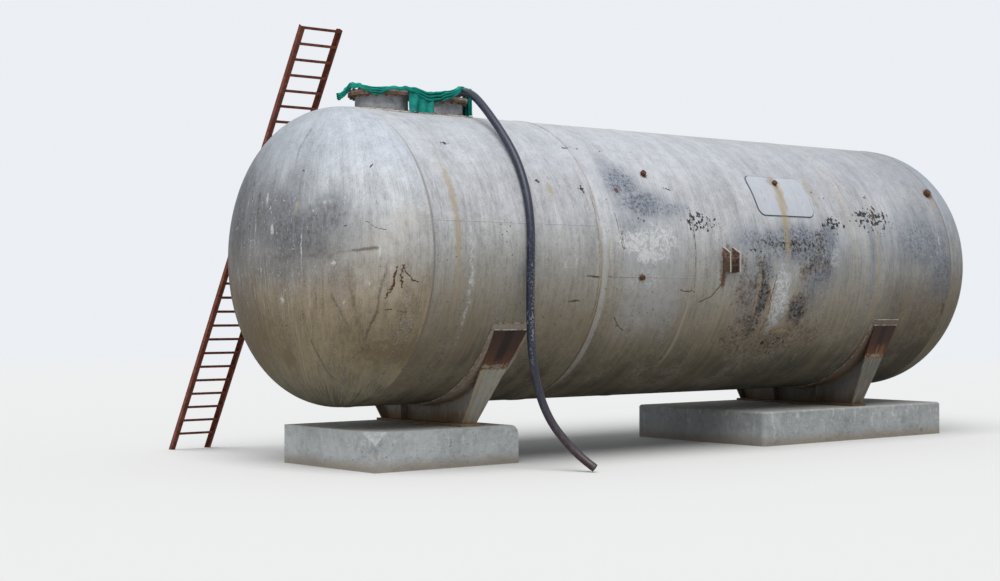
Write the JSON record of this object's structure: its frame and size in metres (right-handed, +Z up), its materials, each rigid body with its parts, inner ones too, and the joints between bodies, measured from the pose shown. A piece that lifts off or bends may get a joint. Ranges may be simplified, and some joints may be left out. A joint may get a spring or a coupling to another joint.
{
  "type": "waste oil tank",
  "caption": "Horizontal cylindrical steel tank with dished ends and bolted manways, on steel saddles and concrete plinths, with a leaning ladder, a hose and green netting.",
  "frame": {"origin": "on the underside of the near plinth, straight below the tank's axis, in the plane of the near saddle", "axes": "+X along the tank towards its far head, +Y towards the side that the ladder leans on, +Z up"},
  "size_m": [9.925, 5.1949, 4.5368],
  "materials": {
    "tank_paint": "matte",
    "manway_paint": "matte",
    "rusty_fittings": "matte",
    "saddle_paint": "matte",
    "concrete": "matte",
    "rusty_ladder": "matte",
    "green_netting": "matte",
    "hose_rubber": "satin"
  },
  "bodies": {
    "root": {"far_head": "tank_paint", "far_plinth": "concrete", "far_saddle_back_horn": "saddle_paint", "far_saddle_base_plate": "saddle_paint", "far_saddle_front_horn": "saddle_paint", "far_saddle_inner_ribs": "saddle_paint", "far_saddle_wear_plate": "saddle_paint", "far_saddle_web": "saddle_paint", "girth_welds": "tank_paint", "hose": "hose_rubber", "hose_elbow": "rusty_fittings", "ladder_far_rail": "rusty_ladder", "ladder_near_rail": "rusty_ladder", "ladder_rungs": "rusty_ladder", "manway_1_cover": "manway_paint", "manway_1_flange": "rusty_fittings", "manway_1_neck": "manway_paint", "manway_1_pad": "tank_paint", "manway_2_cover": "manway_paint", "manway_2_flange": "rusty_fittings", "manway_2_neck": "manway_paint", "manway_2_pad": "tank_paint", "near_head": "tank_paint", "near_plinth": "concrete", "near_saddle_back_horn": "saddle_paint", "near_saddle_base_plate": "saddle_paint", "near_saddle_front_horn": "saddle_paint", "near_saddle_inner_ribs": "saddle_paint", "near_saddle_wear_plate": "saddle_paint", "near_saddle_web": "saddle_paint", "netting_bundle": "green_netting", "netting_end_panel": "green_netting", "netting_side_panel": "green_netting", "netting_tail": "green_netting", "patch_plate": "tank_paint", "pipe_stubs": "rusty_fittings", "seam_cover_strip": "tank_paint", "shell_course_1": "tank_paint", "shell_course_2": "tank_paint", "shell_course_3": "tank_paint", "shell_course_4": "tank_paint", "side_bracket": "rusty_fittings"}
  },
  "joints": []
}
